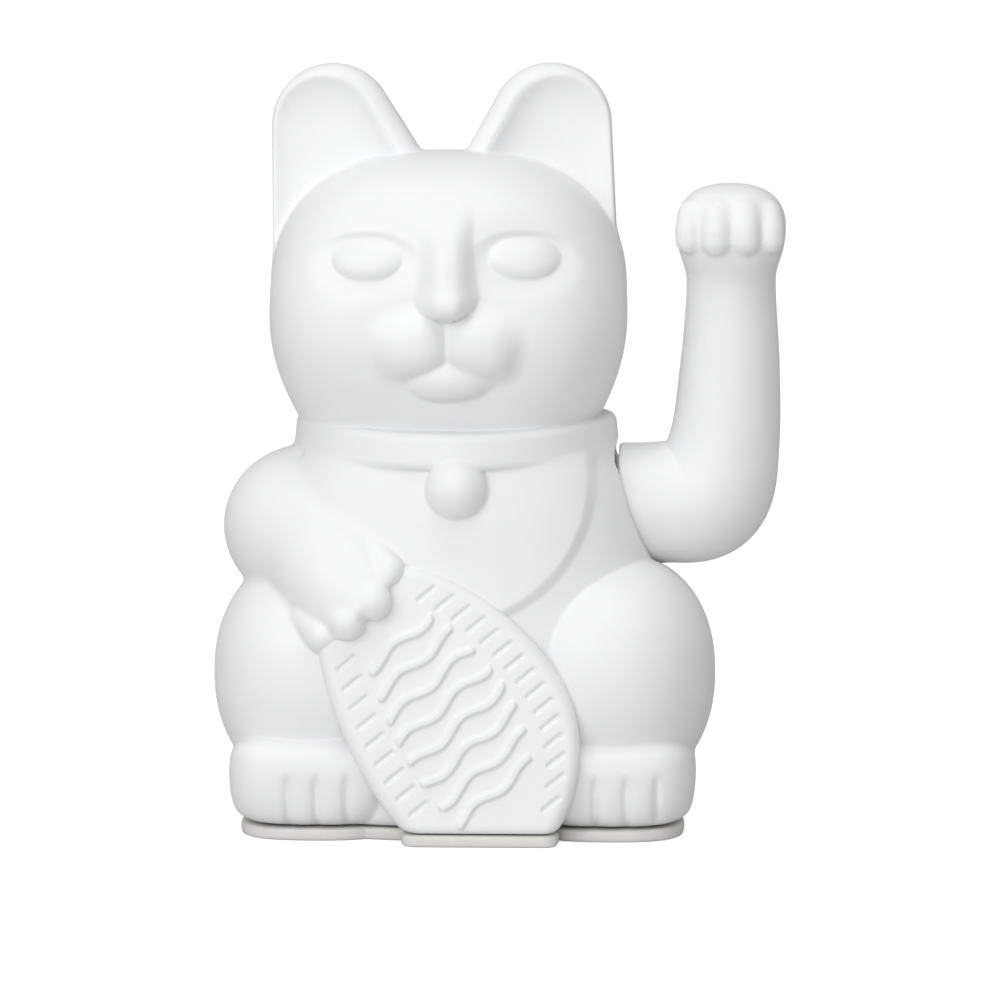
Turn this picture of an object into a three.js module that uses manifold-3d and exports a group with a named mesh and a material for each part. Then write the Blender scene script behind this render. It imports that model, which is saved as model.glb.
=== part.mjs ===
// A beckoning cat figurine, 150 mm tall, moulded in matt white plastic. Its raised left arm
// turns on a steel axle, and a pendulum inside the body keeps it waving: a coil under the
// pendulum's magnet gives it a push at each pass. One AA cell lies in a bay in the base.
//
// Units are millimetres. +Z is up, the cat faces -Y, and +X is the cat's own left, where the
// arm waves. The origin is in the middle of the face that the figurine stands on.

import * as THREE from 'three';
import { mergeVertices } from 'three/addons/utils/BufferGeometryUtils.js';
import Module from 'manifold-3d';

const wasm = await Module();
wasm.setup();

// ---------------------------------------------------------------- driving dimensions

const WALL = 2; // thickness of the moulded shells
const GAP = 0.3; // clearance between pieces that touch
const FAR = 200; // beyond every surface, for cutting tools

const BASE_TOP = 2.4; // top face of the base plate
const SHELL_FOOT = BASE_TOP + GAP; // lower edge of the body shells
const SEAM_Y = 4; // plane where the front and back shells meet

// Torso sections: height, half width, centre y, half depth.
const TORSO = [
  [-1, 41, 2, 36],
  [20, 41, 2, 36.5],
  [38, 40.3, 2, 35.5],
  [52, 38.5, 0.6, 31.5],
  [63, 35.7, -0.6, 29.3],
  [70, 33.6, -1, 28],
  [75, 30.4, -1, 26.4],
  [90, 28.5, -1, 25],
];
const TORSO_POWER = 2.5; // 2 is an ellipse, and more is squarer

const HEAD = { at: [-2.7, -0.5, 105], half: [35.2, 28.5, 28], drop: 38, power: 2.4 };
const COLLAR = { at: [-1.25, -1, 77.2], half: [30.2, 26.6], thick: 1.95, high: 4.3 };
const BELL = { at: [-0.1, -28.6, 68.7], r: 6.2 };

const MIDDLE_X = 0.7; // the legs stand evenly about this plane
const THIGH = { at: [29.3, -10, 30.5], half: [20.3, 26.3, 23.5], power: 2.2 };
const FOOT = { at: [28.8, -19, 8], half: [17.5, 18.8, 12.3], power: 3.6, drop: 12 };
const SHOULDER = { at: [-31, -3.5, 58.8], half: [15.9, 17.5, 15.2] };
// Joints of a limb are [x, y, z, radius].
const RIGHT_ARM = [
  [-30.6, -9, 56.5, 13.6],
  [-21.5, -25.8, 48.5, 10.8],
];
const PAW_TOES = [
  [-25, -33, 40.5, 3.6],
  [-20.3, -34.3, 43, 3.7],
  [-15.5, -34.3, 46.3, 3.7],
  [-11.8, -33, 50.3, 3.6],
];

const TAIL = [
  [-4, 35.5, 9, 4],
  [5, 36.2, 9.8, 4.8],
  [12, 35.6, 14, 5.2],
];

// The egg-shaped coin under the right paw, standing on its narrow end and leaning back. Its
// reach is given to the right, up, left and down, before it is tilted.
const COIN = { at: [-2.7, -35, 18.2], reach: [27.2, 39.7, 15.7, 27.9], depth: 4.1, round: 2.2 };
const COIN_TILT = 32;
const COIN_LEAN = 9;
const COIN_HOLLOW = 6; // how far the hollow behind the coin runs back into the torso

// Each ear is a blade with a rounded triangle for its outline, which grows thinner upwards.
const EAR_ROUND = 12;
const EAR_RIGHT = [
  [-25.9, 138],
  [-25.5, 110],
  [-12.8, 117],
];
const EAR_LEFT = [
  [17.3, 138.2],
  [5.5, 117],
  [18.6, 110],
];
const EAR_Y = 3;
const EAR_THICK = 17; // at the foot of the ear
const EAR_LOW = 105;
const EAR_TOP = 150;
const EAR_THINNER = 0.58; // share of the thickness lost on the way up
const EAR_RIM = 2.6;
const EAR_BOWL = 3.4; // depth of the hollow at the foot of the ear
const EAR_INSIDE = { x: [-23, 16], y: 4.8, z: 126, half: [8, 2.9, 12] };

const EYES = [-17.7, 13.2]; // x of each
const EYE = { y: -24.4, z: 113.8, half: [6.5, 4, 4] };
const NOSE = [
  [-2, -24.5, 122.5, 2.6],
  [-2, -31.5, 103.5, 4.3],
];
const CHEEKS = [-7.9, 3.7]; // x of each side of the muzzle
const CHEEK = { y: -28.5, z: 97.6, half: [7, 5.5, 5.8] };
const LIP = { at: [-2.1, -25.5, 90.3], half: [8, 5.5, 5] };

const PIVOT_Y = -1; // the arm's axle runs along X at this y and z
const PIVOT_Z = 63;
const AXLE_R = 1.5;
const BORE_R = AXLE_R + GAP; // holes that the axle passes through
const AXLE_LOW_X = 1.2;
const AXLE_HIGH_X = 45;

const ARM_WALL = 1.8;
const ARM_ROOT_X = 31; // inner end of the arm, in its socket in the cat's side
const ARM_SEAM_Y = -1.5; // plane where the two halves of the arm meet
const ARM_ROOT = { x: 49, r: 12 };
const ELBOW = { at: [49.2, -1.3, 65], r: 12.4 };
const FOREARM_LOW = [50.7, -1.4, 67, 12.3];
const FOREARM_HIGH = [53, -2, 113, 8.9];
const ARM_PAW = { at: [53, -5, 118.2], half: [10.8, 10.5, 8.4], power: 2.4 };
const ARM_TOES = [46.2, 50.8, 55.4, 60]; // x of each
const ARM_TOE = { y: -12.6, z: 115.4, half: [2.6, 3.2, 5.2] };
const ARM_HUB = { thick: 2, r: 8.5, length: 10, core: 3.6 };
const SOCKET_R = 12.7;
const SOCKET_FLOOR_X = ARM_ROOT_X - 0.7;

const LEVER_X = 14.75; // middle plane of the pendulum and of the coil
const MAGNET_LOW = PIVOT_Z - 42;
const MAGNET_SIZE = [10, 10, 4];
const WEIGHT_SIZE = [15, 12, 13];
const WEIGHT_Y = 0.85; // how far the counterweight sits behind the axle, to hold the arm upright
const LEVER_HALF = [1.25, 3.5];
const SOLE = { half: 6, thick: 1.6 }; // foot of the pendulum, over the magnet
const HUB = { half: 4, r: 4.2 }; // where the pendulum is fixed on the axle
const COIL = { low: 9, high: 19.2, flange: 1.1, r: 6, core: 3, bore: 1.6, seat: 4.4 };
const UPRIGHTS = [3, 24]; // low x of each upright of the mechanism frame
const UPRIGHT_THICK = 2;
const UPRIGHT_HALF = 5;
const WINDOW = { half: 3, low: 14, high: 52 }; // opening in each upright
const FRAME_TOP = 71;
const FLANGE_LOW = 7.3; // underside of the feet that the mechanism frame is screwed down by
const FLANGE_THICK = 2;
const FLANGE_LONG = 6;
const FRAME_SCREWS = [
  [UPRIGHTS[0] - 3.2, PIVOT_Y],
  [UPRIGHTS[1] + UPRIGHT_THICK + 3.2, PIVOT_Y],
];
const CLIP = { gap: 0.5, thick: 0.7, r: 3.2 };

const CELL_R = 7.25; // AA cell
const CELL_LOW_X = -24;
const CELL_LENGTH = 50.5;
const BAY = { lowX: -29.5, highX: 27.5, y: 14.5, half: 7.8, wall: 1.2, top: 17.3 };
const DOOR_FACE = 0.3; // the door's outer face, just clear of the surface below
const DOOR_THICK = 1.4;
const DOOR_TOP = DOOR_FACE + DOOR_THICK;
const CELL_Z = DOOR_TOP + 0.6 + CELL_R;
const LATCH = { lowX: BAY.highX + BAY.wall + 0.4, thick: 1.1, half: 4, top: 5.5 };
const SKIRT = { grow: 0.8, top: 4.4 }; // rim of the base plate round the bay
const GRIPS = { firstX: 19, apart: 2.2, wide: 1, half: 5, deep: 0.5 }; // grooves in the door
const CONTACT = { half: 5, low: 4, high: 15, thick: 0.5 };
const TAB = { half: 2, low: 11.3, high: 12.7, out: 1.6 }; // solder tab of a contact
const SPRING = { turns: 3, wide: 4.6, narrow: 2.4, wire: 0.45 };

const BOARD = { lowX: -26.5, highX: -4.5, lowY: -20, highY: -5, low: 7, thick: 1.2 };
const BOARD_SCREWS = [
  [-23.5, -12.5],
  [-7.5, -12.5],
];

const BASE_SCREWS = [
  [-31, -22],
  [32, -22],
  [-25, 27.8],
  [26, 27.8],
];
const POST_R = 3;
const POST_TOP = 15;
const WEB_HALF = 0.8; // of the web that ties a post to the wall
const SCREW_R = 1.1;
const SCREW_HEAD_R = 2.4;
const SCREW_HEAD = 1.5;
const DRIVE = { half: 1.4, thin: 0.3, deep: 0.7 }; // cross in a screw's head
const SEAT_R = { frame: 2.6, board: 2.2 };

const CHIP = { x: -16, y: -14.5, half: [2.5, 2], high: 1.4, legs: [-1.9, -0.6, 0.6, 1.9] };
const CAPACITOR = { x: -15, y: -8.3, r: 2.5, high: 7.2 };
const LEAD_R = 0.6;

const ROUND = 18; // segments round a large form
const INSIDE = 12; // segments round a hollow
const FINE = 10; // segments round a small piece

// ---------------------------------------------------------------- materials

const finish = (color, roughness, metalness = 0) =>
  new THREE.MeshStandardMaterial({ color, roughness, metalness });
const MATT_WHITE = finish(0xf4f4f2, 0.55);
const BASE_WHITE = finish(0xebe9e4, 0.45);
const GREY_PLASTIC = finish(0x8f9296, 0.5);
const STEEL = finish(0xb8babd, 0.3, 1);
const MAGNET_PLATING = finish(0x9a9ca0, 0.25, 1);
const COPPER = finish(0xb4632f, 0.35, 1);
const BOARD_GREEN = finish(0x2c6b3c, 0.5);
const BLACK_PLASTIC = finish(0x1b1b1d, 0.5);
const CELL_SLEEVE = finish(0x2f4a74, 0.35);
const RED_SLEEVE = finish(0xb3261e, 0.5);
const BLACK_SLEEVE = finish(0x202022, 0.5);

// ---------------------------------------------------------------- solids from geometries

// A closed three.js geometry as a solid that can be joined and cut. Triangles that close up
// to nothing, such as those at the pole of a lathe, are dropped.
function solid(geometry) {
  const bare = geometry.clone();
  bare.deleteAttribute('normal');
  bare.deleteAttribute('uv');
  const merged = mergeVertices(bare, 1e-4);
  const index = merged.index.array;
  const kept = [];
  for (let i = 0; i < index.length; i += 3) {
    const [a, b, c] = index.subarray(i, i + 3);
    if (a !== b && b !== c && c !== a) {
      kept.push(a, b, c);
    }
  }
  return new wasm.Manifold(
    new wasm.Mesh({
      numProp: 3,
      vertProperties: merged.attributes.position.array,
      triVerts: new Uint32Array(kept),
    }),
  );
}

const join = (first, ...others) => others.reduce((a, b) => a.add(b), first);
const cut = (first, ...tools) => tools.reduce((a, b) => a.subtract(b), first);
const inset = (half, by) => half.map((h) => h - by);

// Takes a point of the unit circle or sphere out to a squarer form, as the power grows.
const squarer = (power, ...c) =>
  c.reduce((sum, v) => sum + Math.abs(v) ** power, 0) ** (-1 / power);

function reshape(geometry, move) {
  const at = geometry.attributes.position;
  for (let i = 0; i < at.count; i++) {
    at.setXYZ(i, ...move(at.getX(i), at.getY(i), at.getZ(i)));
  }
  return geometry;
}

// An ellipsoid, or a squarer form. Below its centre it may have another height.
function ball({ at, half, power = 2, drop = half[2] }, segments = ROUND) {
  const g = new THREE.SphereGeometry(1, segments, Math.round(segments * 0.6));
  g.rotateX(Math.PI / 2);
  reshape(g, (x, y, z) => {
    const k = squarer(power, x, y, z);
    return [x * k * half[0], y * k * half[1], z * k * (z < 0 ? drop : half[2])];
  });
  return solid(g.translate(...at));
}

const sphere = ([x, y, z, r], segments = 12) => ball({ at: [x, y, z], half: [r, r, r] }, segments);

function block(low, high) {
  const size = high.map((v, i) => v - low[i]);
  const middle = high.map((v, i) => (v + low[i]) / 2);
  return solid(new THREE.BoxGeometry(...size).translate(...middle));
}

// A round rod from one point to another, tapering from r0 to r1.
function rod(from, to, r0, r1 = r0, segments = FINE) {
  const along = new THREE.Vector3(...to).sub(new THREE.Vector3(...from));
  const g = new THREE.CylinderGeometry(r1, r0, along.length(), segments);
  g.translate(0, along.length() / 2, 0);
  const turn = new THREE.Quaternion();
  turn.setFromUnitVectors(new THREE.Vector3(0, 1, 0), along.normalize());
  return solid(g.applyQuaternion(turn).translate(...from));
}

const upright = (x, y, low, high, r, segments = FINE) =>
  rod([x, y, low], [x, y, high], r, r, segments);

const alongX = (low, high, r, segments = FINE, y = PIVOT_Y, z = PIVOT_Z) =>
  rod([low, y, z], [high, y, z], r, r, segments);

// A limb: rods between round joints, each joint given as [x, y, z, radius].
function limb(joints, segments = 20) {
  const spans = joints
    .slice(1)
    .map((b, i) => rod(joints[i].slice(0, 3), b.slice(0, 3), joints[i][3], b[3], segments));
  return join(...joints.map((j) => sphere(j, segments)), ...spans);
}

const thinner = (joints, by) => joints.map(([x, y, z, r]) => [x, y, z, r - by]);

// A rounded outline round the corners of a polygon, given anticlockwise.
function roundOutline(corners, r) {
  const facing = (a, b) => Math.atan2(b[1] - a[1], b[0] - a[0]) - Math.PI / 2;
  const shape = new THREE.Shape();
  corners.forEach((corner, i) => {
    const before = corners.at(i - 1);
    const after = corners[(i + 1) % corners.length];
    shape.absarc(...corner, r, facing(before, corner), facing(corner, after), false);
  });
  return shape;
}

// A wire: a round section of the given radius along a curve.
function wire(path, radius, steps, sides = 8) {
  const section = new THREE.Shape();
  for (let i = 0; i < sides; i++) {
    const angle = (2 * Math.PI * i) / sides;
    const [x, y] = [radius * Math.cos(angle), radius * Math.sin(angle)];
    if (i === 0) {
      section.moveTo(x, y);
    } else {
      section.lineTo(x, y);
    }
  }
  const options = { extrudePath: path, steps, bevelEnabled: false };
  return solid(new THREE.ExtrudeGeometry(section, options));
}

const smoothPath = (points) =>
  new THREE.CatmullRomCurve3(points.map((p) => new THREE.Vector3(...p)));

const group = new THREE.Group();

function place(name, body, material) {
  const made = body.getMesh();
  const g = new THREE.BufferGeometry();
  g.setAttribute('position', new THREE.BufferAttribute(made.vertProperties, made.numProp));
  g.setIndex(new THREE.BufferAttribute(made.triVerts, 1));
  g.computeVertexNormals();
  const mesh = new THREE.Mesh(g, material);
  mesh.name = name;
  group.add(mesh);
}

// ---------------------------------------------------------------- the cat's forms
// Each takes the depth below the outer surface, so that it also gives the hollow inside.

function torso(depth, segments) {
  const rows = TORSO.map(([z, a, y, b]) => [z, a - depth, y, b - depth]);
  rows[0][0] -= depth;
  const unit = rows.map(([z]) => new THREE.Vector2(1, z));
  const profile = [new THREE.Vector2(0, unit[0].y), ...unit, new THREE.Vector2(0, unit.at(-1).y)];
  const g = new THREE.LatheGeometry(profile, segments);
  g.rotateX(Math.PI / 2);
  reshape(g, (x, y, z) => {
    const [, a, middle, b] = rows.reduce((p, q) => (Math.abs(q[0] - z) < Math.abs(p[0] - z) ? q : p));
    const r = Math.hypot(x, y);
    const k = r < 0.5 ? 0 : squarer(TORSO_POWER, x, y);
    return [x * k * a, middle + y * k * b, z];
  });
  return solid(g);
}

const head = (depth, segments) =>
  ball({ ...HEAD, half: inset(HEAD.half, depth), drop: HEAD.drop - depth }, segments);

// Both of a pair of forms, evenly about the middle of the legs.
function pair(form, depth, segments) {
  const half = inset(form.half, depth);
  const drop = (form.drop ?? form.half[2]) - depth;
  const one = (side) => [MIDDLE_X + side * form.at[0], form.at[1], form.at[2]];
  return join(...[-1, 1].map((side) => ball({ ...form, at: one(side), half, drop }, segments)));
}

const shoulder = (depth, segments) =>
  ball({ at: SHOULDER.at, half: inset(SHOULDER.half, depth) }, segments);

// The hollow behind the coin opens backwards into the torso.
function coin(depth) {
  const outline = new THREE.Shape();
  const round = depth ? 0 : COIN.round;
  const [right, up, left, down] = inset(COIN.reach, depth + round);
  const quarter = Math.PI / 2;
  outline.absellipse(0, 0, right, up, 0, quarter);
  outline.absellipse(0, 0, left, up, quarter, 2 * quarter);
  outline.absellipse(0, 0, left, down, 2 * quarter, 3 * quarter);
  outline.absellipse(0, 0, right, down, 3 * quarter, 4 * quarter);
  const front = COIN.depth - depth;
  const back = depth ? COIN.depth + COIN_HOLLOW : COIN.depth;
  const g = new THREE.ExtrudeGeometry(outline, {
    depth: front + back - 2 * round,
    curveSegments: 5,
    bevelEnabled: round > 0,
    bevelThickness: round,
    bevelSize: round,
    bevelSegments: 2,
  });
  g.translate(0, 0, round - back);
  g.rotateZ(THREE.MathUtils.degToRad(COIN_TILT));
  g.rotateX(THREE.MathUtils.degToRad(90 - COIN_LEAN));
  return solid(g.translate(...COIN.at));
}

function collar() {
  const g = new THREE.TorusGeometry(COLLAR.half[0], COLLAR.thick, 8, ROUND + 4);
  g.scale(1, COLLAR.half[1] / COLLAR.half[0], COLLAR.high / COLLAR.thick);
  return solid(g.translate(...COLLAR.at));
}

// A prism with an ear's outline, between two depths measured from the middle of the blade
// at its foot, and thinned upwards with the ear.
function earPrism(corners, r, front, back, bevel) {
  const g = new THREE.ExtrudeGeometry(roundOutline(corners, r - bevel), {
    depth: back - front - 2 * bevel,
    curveSegments: 6,
    bevelEnabled: bevel > 0,
    bevelThickness: bevel,
    bevelSize: bevel,
    bevelSegments: 2,
  });
  g.rotateX(Math.PI / 2);
  g.translate(0, back - bevel, 0);
  reshape(g, (x, y, z) => {
    const up = THREE.MathUtils.clamp((z - EAR_LOW) / (EAR_TOP - EAR_LOW), 0, 1);
    return [x, EAR_Y + y * (1 - EAR_THINNER * up), z];
  });
  return solid(g);
}

function ear(corners) {
  const half = EAR_THICK / 2;
  const blade = earPrism(corners, EAR_ROUND, -half, half, 3);
  const bowl = earPrism(corners, EAR_ROUND - EAR_RIM, -2 * half, EAR_BOWL - half, 0);
  return cut(blade, bowl);
}

// The same form at each x.
const row = (places, { y, z, half }, segments) =>
  join(...places.map((x) => ball({ at: [x, y, z], half }, segments)));

const face = () =>
  join(row(EYES, EYE, FINE), limb(NOSE, 8), row(CHEEKS, CHEEK, FINE), ball(LIP, FINE));

const outside = join(
  torso(0, ROUND + 6),
  head(0, ROUND + 6),
  ear(EAR_RIGHT),
  ear(EAR_LEFT),
  face(),
  collar(),
  sphere([...BELL.at, BELL.r]),
  pair(THIGH, 0, ROUND),
  pair(FOOT, 0, ROUND),
  shoulder(0, ROUND),
  limb(RIGHT_ARM, 16),
  ...PAW_TOES.map((toe) => sphere(toe, 8)),
  limb(TAIL, 12),
  coin(0),
);

const hollow = join(
  torso(WALL, INSIDE + 4),
  head(WALL, INSIDE + 4),
  row(EAR_INSIDE.x, EAR_INSIDE, INSIDE),
  pair(THIGH, WALL, INSIDE),
  pair(FOOT, WALL, INSIDE),
  shoulder(WALL, INSIDE),
  limb(thinner(RIGHT_ARM, WALL), 12),
  coin(WALL),
);

// ---------------------------------------------------------------- body shells

const below = (z) => block([-FAR, -FAR, -FAR], [FAR, FAR, z]);
const inFront = (y) => block([-FAR, -FAR, -FAR], [FAR, y, FAR]);
const behind = (y) => block([-FAR, y, -FAR], [FAR, FAR, FAR]);

// A post that takes a base screw, with a web that ties it to the wall.
function post([x, y]) {
  const outwards = Math.sign(y) * FAR;
  const [lowY, highY] = [y, y + outwards].sort((a, b) => a - b);
  return join(
    upright(x, y, SHELL_FOOT, POST_TOP, POST_R, 12),
    block([x - WEB_HALF, lowY, SHELL_FOOT], [x + WEB_HALF, highY, POST_TOP]),
  );
}

function bodyShells() {
  const walls = cut(outside, hollow, below(SHELL_FOOT));
  const socketWall = alongX(SOCKET_FLOOR_X - WALL, FAR, SOCKET_R + WALL, 24);
  const inner = join(socketWall, ...BASE_SCREWS.map(post)).intersect(outside);
  return cut(
    join(walls, inner),
    alongX(SOCKET_FLOOR_X, FAR, SOCKET_R, 32),
    alongX(0, FAR, AXLE_R + 1, FINE),
    ...BASE_SCREWS.map(([x, y]) => upright(x, y, 0, POST_TOP - 1, SCREW_R + GAP, 8)),
  );
}

const shells = bodyShells();
place('front_shell', cut(shells, behind(SEAM_Y - GAP / 2)), MATT_WHITE);
place('back_shell', cut(shells, inFront(SEAM_Y + GAP / 2)), MATT_WHITE);

// ---------------------------------------------------------------- base plate and door

const doorBox = (grow, low, high) =>
  block(
    [BAY.lowX - BAY.wall - grow, BAY.y - BAY.half - BAY.wall - grow, low],
    [BAY.highX + BAY.wall + grow, BAY.y + BAY.half + BAY.wall + grow, high],
  );

const across = (x, half, low, high) =>
  block([x - half, BAY.y - TAB.half - GAP, low], [x + half, BAY.y + TAB.half + GAP, high]);

function basePlate() {
  const plate = cut(outside, below(0), block([-FAR, -FAR, BASE_TOP], [FAR, FAR, FAR]));
  const bay = doorBox(0, DOOR_TOP + GAP, BAY.top + BAY.wall);
  const skirt = doorBox(SKIRT.grow, BASE_TOP - 1, SKIRT.top);
  const inside = block(
    [BAY.lowX, BAY.y - BAY.half, -1],
    [BAY.highX, BAY.y + BAY.half, BAY.top],
  );
  const latchWay = block(
    [LATCH.lowX - GAP, BAY.y - LATCH.half - GAP, -1],
    [LATCH.lowX + LATCH.thick + 2 * GAP, BAY.y + LATCH.half + GAP, LATCH.top],
  );
  const tabSlot = (x) => across(x, BAY.wall + 0.8, TAB.low - GAP, TAB.high + GAP);
  const seat = ([x, y], top, r) => upright(x, y, BASE_TOP - 1, top, r, 12);
  const seats = [
    seat([LEVER_X, PIVOT_Y], COIL.low - GAP, COIL.seat),
    ...FRAME_SCREWS.map((at) => seat(at, FLANGE_LOW - GAP, SEAT_R.frame)),
    ...BOARD_SCREWS.map((at) => seat(at, BOARD.low - GAP, SEAT_R.board)),
  ];
  return cut(
    join(plate, bay, skirt, ...seats),
    doorBox(GAP, -1, DOOR_TOP + GAP),
    inside,
    latchWay,
    tabSlot(BAY.lowX - BAY.wall / 2),
    tabSlot(BAY.highX + BAY.wall / 2),
    ...FRAME_SCREWS.map(([x, y]) => upright(x, y, BASE_TOP, FAR, SCREW_R + GAP, 8)),
    ...BOARD_SCREWS.map(([x, y]) => upright(x, y, BASE_TOP, FAR, SCREW_R + GAP, 8)),
    ...BASE_SCREWS.flatMap(([x, y]) => [
      upright(x, y, -1, BASE_TOP + 1, SCREW_R + GAP, 12),
      upright(x, y, -1, GAP + SCREW_HEAD + GAP, SCREW_HEAD_R + GAP, 12),
    ]),
  );
}
place('base_plate', basePlate(), BASE_WHITE);

function batteryDoor() {
  const plate = doorBox(0, DOOR_FACE, DOOR_TOP);
  const lip = block(
    [LATCH.lowX - 0.5, BAY.y - LATCH.half, DOOR_FACE],
    [LATCH.lowX + LATCH.thick, BAY.y + LATCH.half, DOOR_TOP],
  );
  const latch = block(
    [LATCH.lowX, BAY.y - LATCH.half, DOOR_FACE],
    [LATCH.lowX + LATCH.thick, BAY.y + LATCH.half, LATCH.top],
  );
  const grips = [0, 1, 2].map((i) => {
    const x = GRIPS.firstX + GRIPS.apart * i;
    const top = DOOR_FACE + GRIPS.deep;
    return block([x, BAY.y - GRIPS.half, 0], [x + GRIPS.wide, BAY.y + GRIPS.half, top]);
  });
  return cut(join(plate, lip, latch), ...grips);
}
place('battery_door', batteryDoor(), BASE_WHITE);

// A screw whose head bears on the height called seat, and whose point is at the other height.
function screw(name, [x, y], seat, point) {
  const outwards = Math.sign(seat - point);
  const top = seat + outwards * SCREW_HEAD;
  const span = (a, b, r, sides) => upright(x, y, Math.min(a, b), Math.max(a, b), r, sides);
  const ends = [top - outwards * DRIVE.deep, top + outwards].sort((a, b) => a - b);
  const slot = (w, d) => block([x - w, y - d, ends[0]], [x + w, y + d, ends[1]]);
  const body = join(
    span(seat, top, SCREW_HEAD_R, 10),
    span(seat + outwards * DRIVE.deep, point, SCREW_R, 6),
  );
  place(name, cut(body, slot(DRIVE.half, DRIVE.thin), slot(DRIVE.thin, DRIVE.half)), STEEL);
}
BASE_SCREWS.forEach((at, i) =>
  screw(`base_screw_${i + 1}`, at, GAP + SCREW_HEAD, POST_TOP - 3),
);

// ---------------------------------------------------------------- battery and contacts

function batteryCell() {
  const end = CELL_LENGTH;
  const profile = [
    [0, 0],
    [5.5, 0],
    [6, 0.4],
    [CELL_R, 0.4],
    [CELL_R, end - 1.9],
    [CELL_R - 0.6, end - 1.3],
    [2.75, end - 1.3],
    [2.75, end],
    [0, end],
  ].map(([r, along]) => new THREE.Vector2(r, along));
  const g = new THREE.LatheGeometry(profile, 24);
  g.rotateZ(-Math.PI / 2);
  return solid(g.translate(CELL_LOW_X, BAY.y, CELL_Z));
}
place('battery_cell', batteryCell(), CELL_SLEEVE);

// A contact plate inside one end of the bay, with its solder tab out through the wall.
// end is -1 for the end at low x and 1 for the other.
function contact(end) {
  const face = (end < 0 ? BAY.lowX : BAY.highX) - end * GAP;
  const slab = (from, to, half, low, high) =>
    block([Math.min(from, to), BAY.y - half, low], [Math.max(from, to), BAY.y + half, high]);
  return join(
    slab(face, face - end * CONTACT.thick, CONTACT.half, CONTACT.low, CONTACT.high),
    slab(face - end * GAP, face + end * (GAP + BAY.wall + TAB.out), TAB.half, TAB.low, TAB.high),
  );
}

function springContact() {
  const from = BAY.lowX + GAP + CONTACT.thick + 0.1;
  const rise = CELL_LOW_X - GAP - SPRING.wire - from;
  const steps = SPRING.turns * 8;
  const coil = Array.from({ length: steps + 1 }, (_, i) => {
    const angle = (Math.PI * i) / 4;
    const r = THREE.MathUtils.lerp(SPRING.wide, SPRING.narrow, i / steps);
    const x = from + (rise * i) / steps;
    return [x, BAY.y + r * Math.cos(angle), CELL_Z + r * Math.sin(angle)];
  });
  return join(contact(-1), wire(smoothPath(coil), SPRING.wire, SPRING.turns * 9, 5));
}
place('spring_contact', springContact(), STEEL);
place('plate_contact', contact(1), STEEL);

// ---------------------------------------------------------------- circuit board

const BOARD_TOP = BOARD.low + BOARD.thick;

place(
  'circuit_board',
  cut(
    block([BOARD.lowX, BOARD.lowY, BOARD.low], [BOARD.highX, BOARD.highY, BOARD_TOP]),
    ...BOARD_SCREWS.map(([x, y]) => upright(x, y, 0, FAR, SCREW_R + GAP, 12)),
  ),
  BOARD_GREEN,
);

BOARD_SCREWS.forEach((at, i) =>
  screw(`board_screw_${i + 1}`, at, BOARD_TOP + GAP, BASE_TOP + GAP),
);

function driverChip() {
  const low = BOARD_TOP + GAP;
  const slab = (x, w, d, from, to) =>
    block([CHIP.x + x - w, CHIP.y - d, from], [CHIP.x + x + w, CHIP.y + d, to]);
  const legs = CHIP.legs.map((x) => slab(x, 0.2, CHIP.half[1] + 1, low, low + 0.5));
  return join(slab(0, ...CHIP.half, low + 0.3, low + 0.3 + CHIP.high), ...legs);
}
place('driver_chip', driverChip(), BLACK_PLASTIC);

function capacitor() {
  const low = BOARD_TOP + GAP;
  return upright(CAPACITOR.x, CAPACITOR.y, low, low + CAPACITOR.high, CAPACITOR.r);
}
place('capacitor', capacitor(), BLACK_PLASTIC);

// ---------------------------------------------------------------- coil and mechanism frame

function coilBobbin() {
  const disc = (low) => upright(LEVER_X, PIVOT_Y, low, low + COIL.flange, COIL.r, 24);
  const core = upright(LEVER_X, PIVOT_Y, COIL.low, COIL.high, COIL.core);
  const bore = upright(LEVER_X, PIVOT_Y, 0, FAR, COIL.bore);
  return cut(join(disc(COIL.low), disc(COIL.high - COIL.flange), core), bore);
}
place('coil_bobbin', coilBobbin(), BLACK_PLASTIC);

function coilWinding() {
  const [low, high] = [COIL.low + COIL.flange + GAP, COIL.high - COIL.flange - GAP];
  return cut(
    upright(LEVER_X, PIVOT_Y, low, high, COIL.r - 0.5, 24),
    upright(LEVER_X, PIVOT_Y, 0, FAR, COIL.core + GAP, 24),
  );
}
place('coil_winding', coilWinding(), COPPER);

function mechanismFrame() {
  const [lowX, highX] = UPRIGHTS;
  const slab = (from, to, half, low, high) =>
    block([from, PIVOT_Y - half, low], [to, PIVOT_Y + half, high]);
  const uprights = UPRIGHTS.map((x) =>
    cut(
      slab(x, x + UPRIGHT_THICK, UPRIGHT_HALF, SHELL_FOOT, FRAME_TOP),
      slab(x - 1, x + UPRIGHT_THICK + 1, WINDOW.half, WINDOW.low, WINDOW.high),
    ),
  );
  const tie = slab(lowX + 0.5, highX + 0.5, UPRIGHT_HALF, FRAME_TOP - 2, FRAME_TOP);
  const flange = (from, to) =>
    slab(from, to, UPRIGHT_HALF - 1.5, FLANGE_LOW, FLANGE_LOW + FLANGE_THICK);
  return cut(
    join(
      ...uprights,
      tie,
      flange(lowX - FLANGE_LONG, lowX + 0.5),
      flange(highX + UPRIGHT_THICK - 0.5, highX + UPRIGHT_THICK + FLANGE_LONG),
    ),
    alongX(0, highX + 2 * UPRIGHT_THICK, BORE_R),
    ...FRAME_SCREWS.map(([x, y]) => upright(x, y, 0, WINDOW.low, SCREW_R + GAP, 12)),
  );
}
place('mechanism_frame', mechanismFrame(), GREY_PLASTIC);

FRAME_SCREWS.forEach((at, i) =>
  screw(`frame_screw_${i + 1}`, at, FLANGE_LOW + FLANGE_THICK + GAP, BASE_TOP + GAP),
);

// ---------------------------------------------------------------- what swings

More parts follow.
